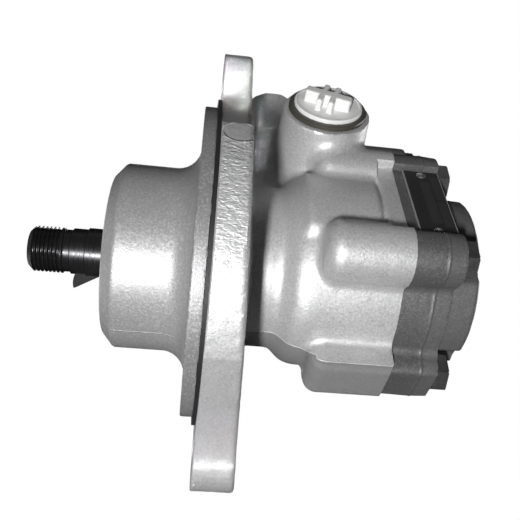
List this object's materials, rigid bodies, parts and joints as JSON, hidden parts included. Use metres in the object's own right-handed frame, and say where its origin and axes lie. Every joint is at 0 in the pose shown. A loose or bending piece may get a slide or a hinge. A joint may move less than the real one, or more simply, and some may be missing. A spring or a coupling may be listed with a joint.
{
  "type": "power steering pump",
  "caption": "Vane-type hydraulic pump with a two-ear flange, sealed pilot, keyed threaded shaft, capped suction port and a lobed rear cover.",
  "frame": {"origin": "on the shaft axis, in the flange's mounting face", "axes": "+X along the shaft from the drive end towards the rear cover; +Z along the flange's ears, towards the thinner ear, the suction port and the valve gallery"},
  "size_m": [0.1664, 0.132, 0.174],
  "materials": {
    "cast_aluminium": "as cast and shot blasted, fine satin grain",
    "cover_iron": "as cast, dark grey, slightly rough",
    "seal_rubber": "matte black",
    "bolt_steel": "zinc, dulled",
    "plate_black": "black print on thin metal, blank",
    "rivet_metal": "bright",
    "ring_black": "matte dark grey",
    "cap_white": "white moulded, satin",
    "shaft_black": "black oxide, ground",
    "key_steel": "ground",
    "bearing_steel": "ground and polished",
    "cage_plastic": "moulded, natural",
    "spring_steel": "phosphated spring steel",
    "pump_steel": "hardened and ground",
    "plate_iron": "machined",
    "bush_bronze": "machined bearing bronze",
    "plug_steel": "zinc"
  },
  "bodies": {
    "casing": {"housing": "cast_aluminium", "flange_seal": "seal_rubber", "rear_cover": "cover_iron", "cover_seal": "seal_rubber", "cover_bolts": "bolt_steel", "data_plate": "plate_black", "plate_rivets": "rivet_metal", "suction_ring": "ring_black", "bearing_outer_ring": "bearing_steel", "bearing_clip": "spring_steel", "shaft_seal": "seal_rubber", "cam_ring": "pump_steel", "front_plate": "plate_iron", "rear_plate": "plate_iron", "front_plate_seal": "seal_rubber", "dowel_pins": "bearing_steel", "rear_bush": "bush_bronze", "valve_spring": "spring_steel", "valve_plug": "plug_steel", "valve_plug_ring": "seal_rubber"},
    "shaft": {"drive_shaft": "shaft_black", "woodruff_key": "key_steel", "bearing_inner_ring": "bearing_steel", "rotor": "pump_steel", "vanes": "pump_steel"},
    "cage": {"bearing_cage": "cage_plastic", "bearing_balls": "bearing_steel"},
    "spool": {"valve_spool": "pump_steel"},
    "cap": {"port_cap": "cap_white"}
  },
  "joints": [
    {"name": "shaft_spin", "type": "hinge", "parent": "casing", "child": "shaft", "pos_m": [0, 0, 0], "axis": [1, 0, 0], "continuous": true},
    {"name": "cage_spin", "type": "hinge", "parent": "casing", "child": "cage", "pos_m": [-0.0165, 0, 0], "axis": [1, 0, 0], "continuous": true},
    {"name": "valve_slide", "type": "slide", "parent": "casing", "child": "spool", "axis": [1, 0, 0], "range_m": [0, 0.0055], "stiffness_N_per_m": 9000, "springref_m": -0.003, "deforming": ["valve_spring"]},
    {"name": "cap_pull", "type": "slide", "parent": "casing", "child": "cap", "axis": [0, -0.7837, 0.6211], "range_m": [0, 0.02]}
  ],
  "couplings": [
    {"joint": "cage_spin", "follows": "shaft_spin", "ratio": 0.38209}
  ]
}
